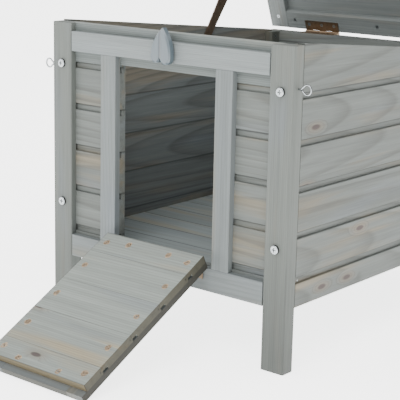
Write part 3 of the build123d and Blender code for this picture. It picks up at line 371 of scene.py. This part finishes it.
def platedMetal(name, code, roughness, blotch, metallic=1.0, scale=400.0, darker=None, paintedRimShade=1.0):
    # plated steel: even gloss broken by faint cloudiness and handling marks
    # paintedRimShade: how dark the turned-away sides are painted, a painted reflection of the dim room
    # beside the bright plate
    material = newMaterial(name)
    coords = addNode(material, "ShaderNodeTexCoord")
    clouds = addNode(material, "ShaderNodeTexNoise", {"Scale": scale, "Detail": 4.0, "Roughness": 0.6},
                     {"Vector": coords.outputs["Object"]})
    tint = addNode(material, "ShaderNodeMix",
                   {"data_type": "RGBA", 6: hexColour(darker or code), 7: hexColour(code)},
                   {0: clouds.outputs["Fac"]})
    # painted reflection: faces turned away from the front are darkened
    facing = addNode(material, "ShaderNodeSeparateXYZ",
                     links={0: addNode(material, "ShaderNodeNewGeometry").outputs["Normal"]})
    frontness = addNode(material, "ShaderNodeMath", {"operation": "ABSOLUTE"}, {0: facing.outputs["Y"]})
    shade = addNode(material, "ShaderNodeMapRange", {"From Min": 0.35, "From Max": 0.85, "To Min": paintedRimShade},
                    {"Value": frontness.outputs[0]})
    tint = addNode(material, "ShaderNodeVectorMath", {"operation": "SCALE"},
                   {0: tint.outputs[2], "Scale": shade.outputs[0]})
    gloss = addNode(material, "ShaderNodeMapRange",
                    {"To Min": roughness - blotch, "To Max": roughness + blotch},
                    {"Value": clouds.outputs["Fac"]})
    shader = addNode(material, "ShaderNodeBsdfPrincipled", {"Metallic": metallic},
                     {"Base Color": tint.outputs[0], "Roughness": gloss.outputs[0]})
    bump = addNode(material, "ShaderNodeBump", {"Strength": 0.08, "Distance": 0.0002},
                   {"Height": clouds.outputs["Fac"]})
    material.node_tree.links.new(bump.outputs[0], shader.inputs["Normal"])
    addNode(material, "ShaderNodeOutputMaterial", links={"Surface": shader.outputs[0]})
    return material


zinc = platedMetal("brightZincPlate", "#C9CED0", 0.24, 0.10, darker="#6A7072", scale=700.0, paintedRimShade=0.12)
plainZinc = platedMetal("zincPlateDulled", "#AEB3B5", 0.32, 0.10, darker="#5E6466", scale=700.0)
bronze = platedMetal("antiqueBronzePlate", "#8F7C66", 0.38, 0.12, darker="#5E5145", scale=250.0)
brownSteel = platedMetal("brownCoatedSteel", "#655647", 0.42, 0.10, metallic=0.7, darker="#483C31")
dress("frame_bolts", zinc)
for name in ("wall_screws", "ramp_screws", "lid_screws", "left_screw_eye", "right_screw_eye", "hook_posts",
             "left_hook", "right_hook", "knob_spindle"):
    dress(name, plainZinc)
for name in ("lid_hinge_wall_leaves", "lid_hinge_lid_leaves", "lid_hinge_pins", "ramp_hinge_rail_leaves",
             "ramp_hinge_door_leaves", "ramp_hinge_pins"):
    dress(name, bronze)
for name in ("stay_lower_link", "stay_upper_link", "stay_bracket", "stay_wall_rivet"):
    dress(name, brownSteel)


def roofingFelt():
    # bitumen felt with mineral granules of about 1 mm, drawn at 1.6 mm so that they show
    material = newMaterial("bitumenFeltWithGranules")
    coords = addNode(material, "ShaderNodeTexCoord")
    grains = addNode(material, "ShaderNodeTexVoronoi", {"Scale": 620.0},
                     {"Vector": coords.outputs["Object"]})
    tone = addNode(material, "ShaderNodeSeparateColor", links={"Color": grains.outputs["Color"]})
    colour = addNode(material, "ShaderNodeValToRGB", links={"Fac": tone.outputs[0]})
    setRamp(colour, [(0.0, "#131313"), (0.55, "#2A2A2A"), (0.85, "#414141"), (1.0, "#6E6E6C")])
    shader = addNode(material, "ShaderNodeBsdfPrincipled", {"Roughness": 0.9, "Specular IOR Level": 0.25},
                     {"Base Color": colour.outputs["Color"]})
    bump = addNode(material, "ShaderNodeBump", {"Strength": 0.9, "Distance": 0.0008},
                   {"Height": tone.outputs[0]})
    material.node_tree.links.new(bump.outputs[0], shader.inputs["Normal"])
    addNode(material, "ShaderNodeOutputMaterial", links={"Surface": shader.outputs[0]})
    return material


dress("roof_felt", roofingFelt())


heartMiddle = (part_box("turn_knob")[0][0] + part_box("turn_knob")[1][0]) / 2


def heartPaint():
    # brushed gloss paint over wood: blue-grey, with the brush's strokes running up the heart
    material = newMaterial("brushedGlossPaint")
    coords = addNode(material, "ShaderNodeTexCoord")
    strokePlace = addNode(material, "ShaderNodeMapping", {"Scale": (900.0, 900.0, 60.0)},
                          {"Vector": coords.outputs["Object"]})
    strokes = addNode(material, "ShaderNodeTexNoise", {"Scale": 1.0, "Detail": 3.0},
                      {"Vector": strokePlace.outputs[0]})
    tint = addNode(material, "ShaderNodeMix",
                   {"data_type": "RGBA", 6: hexColour("#3C474C"), 7: hexColour("#4F5A61")},
                   {0: strokes.outputs["Fac"]})
    # a shallow crease runs from the notch towards the tip, 3 mm wide, with painted shade darkening it
    sideways = addNode(material, "ShaderNodeMath", {"operation": "SUBTRACT", 1: heartMiddle},
                       {0: addNode(material, "ShaderNodeSeparateXYZ",
                                   links={0: coords.outputs["Object"]}).outputs["X"]})
    fromCrease = addNode(material, "ShaderNodeMath", {"operation": "ABSOLUTE"}, {0: sideways.outputs[0]})
    crease = addNode(material, "ShaderNodeMapRange", {"interpolation_type": "SMOOTHSTEP", "From Max": 0.003},
                     {"Value": fromCrease.outputs[0]})
    # painted shade in the crease
    dark = addNode(material, "ShaderNodeMapRange", {"To Min": 0.62}, {"Value": crease.outputs[0]})
    tint = addNode(material, "ShaderNodeVectorMath", {"operation": "SCALE"},
                   {0: tint.outputs[2], "Scale": dark.outputs[0]})
    shader = addNode(material, "ShaderNodeBsdfPrincipled", {"Roughness": 0.3, "Coat Weight": 0.4,
                                                            "Coat Roughness": 0.15},
                     {"Base Color": tint.outputs[0]})
    groove = addNode(material, "ShaderNodeBump", {"Strength": 0.9, "Distance": 0.0018},
                     {"Height": crease.outputs[0]})
    bump = addNode(material, "ShaderNodeBump", {"Strength": 0.12, "Distance": 0.0003},
                   {"Height": strokes.outputs["Fac"], "Normal": groove.outputs[0]})
    material.node_tree.links.new(bump.outputs[0], shader.inputs["Normal"])
    addNode(material, "ShaderNodeOutputMaterial", links={"Surface": shader.outputs[0]})
    return material


dress("turn_knob", heartPaint())
print("metals, felt and paint done")

# Screw eyes: one length of wire, bent to a pear-shaped loop that runs back to its own shank
# pear and shoulder are in loop radii from the loop's middle, open is the arc's end in degrees
eyeSet = {"wire": 0.0011, "sides": 12, "pear": 1.45, "shoulder": 1.12, "shoulderRise": 0.33, "neck": 0.35,
          "open": 148, "step": 8}


def screwEye(nodeName, side):
    low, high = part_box(nodeName)
    radius = (high[2] - low[2]) / 2 - eyeSet["wire"]
    middle = Vector(((high[0] if side > 0 else low[0]) - side * (radius + eyeSet["wire"]),
                     (low[1] + high[1]) / 2, (low[2] + high[2]) / 2))
    shankEnd = abs(middle.x - (low[0] if side > 0 else high[0])) / radius
    shoulder, rise = -eyeSet["shoulder"], eyeSet["shoulderRise"]
    path = [(-shankEnd, 0.0), (-eyeSet["pear"] - eyeSet["neck"], 0.0), (-eyeSet["pear"], 0.05),
            (shoulder, rise)]
    path += [(math.cos(math.radians(a)), math.sin(math.radians(a)))
             for a in range(eyeSet["open"], -eyeSet["open"] - 1, -eyeSet["step"])]
    path += [(shoulder, -rise), (-eyeSet["pear"] + 0.02, -0.09)]
    points = [middle + Vector((side * u * radius, 0.0, v * radius)) for u, v in path]
    mesh = bmesh.new()
    rings = []
    for index, point in enumerate(points):
        before, after = points[max(index - 1, 0)], points[min(index + 1, len(points) - 1)]
        along = (after - before).normalized()
        across = along.cross(Vector((0, 1, 0)))
        ring = []
        for k in range(eyeSet["sides"]):
            a = 2 * math.pi * k / eyeSet["sides"]
            outward = math.cos(a) * across + Vector((0, math.sin(a), 0))
            ring.append(mesh.verts.new(point + eyeSet["wire"] * outward))
        rings.append(ring)
    for first, second in zip(rings, rings[1:]):
        for k in range(eyeSet["sides"]):
            after = (k + 1) % eyeSet["sides"]
            mesh.faces.new((first[k], first[after], second[after], second[k])).smooth = True
    mesh.faces.new(rings[0])
    mesh.faces.new(rings[-1])
    bmesh.ops.recalc_face_normals(mesh, faces=mesh.faces)
    data = bpy.data.meshes.new(nodeName + "_wire")
    mesh.to_mesh(data)
    mesh.free()
    data.materials.append(zinc)
    wire = placeData(nodeName + "_wire", data)
    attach(wire, "house")
    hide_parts(nodeName)


screwEye("left_screw_eye", -1)
screwEye("right_screw_eye", 1)
print("screw eyes done")

# Bare tan wood round the ramp's screws, where the countersink broke through the stain
markSet = {"radius": 0.0036, "inside": 0.0024, "lift": 0.00004, "points": 14, "code": "#9C8870",
           "ragged": 0.3, "headDepth": 0.0008, "shares": (0.0, 0.0, 0.6, 1.0), "seed": 4}


def looseMiddles(name):
    # the middle and the top of every loose bit of the mesh, in levelled ramp coordinates.
    # Faces don't share vertices in this mesh, so a screw gives several bits; about half get a mark.
    mesh = bmesh.new()
    mesh.from_mesh(nodes[name].data)
    left = set(mesh.verts)
    middles = []
    while left:
        found, queue = [], [left.pop()]
        while queue:
            vertex = queue.pop()
            found.append(rampTurn @ vertex.co)
            for edge in vertex.link_edges:
                other = edge.other_vert(vertex)
                if other in left:
                    left.remove(other)
                    queue.append(other)
        middles.append([(min(v[k] for v in found) + max(v[k] for v in found)) / 2 for k in range(2)]
                       + [max(v.z for v in found)])
    mesh.free()
    return middles


def screwMarks():
    luck = random.Random(markSet["seed"])
    walkingFace = max((rampTurn @ vertex.co).z for vertex in nodes["ramp_board_3"].data.vertices)
    level = walkingFace + markSet["lift"]
    back = rampTurn.transposed()
    mesh = bmesh.new()
    # sorted, so that every run draws the same marks
    spots = sorted(looseMiddles("ramp_screws"))
    onTop = [Vector(spot) for spot in spots if abs(spot[2] - level) < markSet["headDepth"]]
    for middle in onTop:
        share = luck.choice(markSet["shares"])
        if not share:
            continue
        rings = []
        for radius, rough in ((markSet["inside"], 0.0), (markSet["radius"], markSet["ragged"] * share)):
            ring = []
            for k in range(markSet["points"]):
                a = 2 * math.pi * k / markSet["points"]
                reach = radius * (1 + luck.uniform(-rough, rough))
                ring.append(mesh.verts.new(back @ Vector((middle.x + reach * math.cos(a),
                                                          middle.y + reach * math.sin(a), level))))
            rings.append(ring)
        for k in range(markSet["points"]):
            after = (k + 1) % markSet["points"]
            mesh.faces.new((rings[0][k], rings[1][k], rings[1][after], rings[0][after]))
    data = bpy.data.meshes.new("bareWoodMarks")
    mesh.to_mesh(data)
    mesh.free()
    bare = newMaterial("bareFirAroundScrews")
    shader = addNode(bare, "ShaderNodeBsdfPrincipled", {"Base Color": hexColour(markSet["code"]),
                                                        "Roughness": 0.8})
    addNode(bare, "ShaderNodeOutputMaterial", links={"Surface": shader.outputs[0]})
    data.materials.append(bare)
    marks = placeData("bareWoodMarks", data)
    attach(marks, "ramp")


screwMarks()
print("screw marks done")

# Floor and light: pale floor running up to a white backdrop, one big soft box and a fill
stageSet = {"floor": "#F4F4F2", "half": 14.0, "sky": 1.7, "glow": 3.0, "keyPower": 50.0, "keySize": 1.8,
            "keyPlace": (0.5, -1.9, 2.3), "fillPower": 18.0, "fillPlace": (-2.6, -1.6, 1.6)}
floorMesh = bpy.data.meshes.new("studioFloor")
reach = stageSet["half"]
floorMesh.from_pydata([(-reach, -reach, 0), (reach, -reach, 0), (reach, reach, 0), (-reach, reach, 0)], [],
                      [(0, 1, 2, 3)])
floorObject = placeData("studioFloor", floorMesh)
floorPaint = newMaterial("paleMattFloor")
# the paper sweep is lit from behind, which keeps it white and its shadows faint
floorShader = addNode(floorPaint, "ShaderNodeBsdfPrincipled",
                      {"Base Color": hexColour(stageSet["floor"]), "Roughness": 0.9,
                       "Emission Color": (1.0, 1.0, 1.0, 1.0), "Emission Strength": stageSet["glow"]})
addNode(floorPaint, "ShaderNodeOutputMaterial", links={"Surface": floorShader.outputs[0]})
floorMesh.materials.append(floorPaint)


def softBox(name, place, power, size):
    data = bpy.data.lights.new(name, "AREA")
    data.energy = power
    data.size = size
    lamp = placeData(name, data)
    lamp.location = place
    lamp.rotation_mode = "QUATERNION"
    lamp.rotation_quaternion = (Vector((0, 0, 0.25)) - Vector(place)).to_track_quat("-Z", "Y")


softBox("keyLight", stageSet["keyPlace"], stageSet["keyPower"], stageSet["keySize"])
softBox("fillLight", stageSet["fillPlace"], stageSet["fillPower"], stageSet["keySize"])
world = bpy.data.worlds.new("studioSky")
bpy.context.scene.world = world
world.use_nodes = True
sky = world.node_tree.nodes["Background"]
sky.inputs["Color"].default_value = (1.0, 1.0, 1.0, 1.0)
sky.inputs["Strength"].default_value = stageSet["sky"]
print("floor and light done")
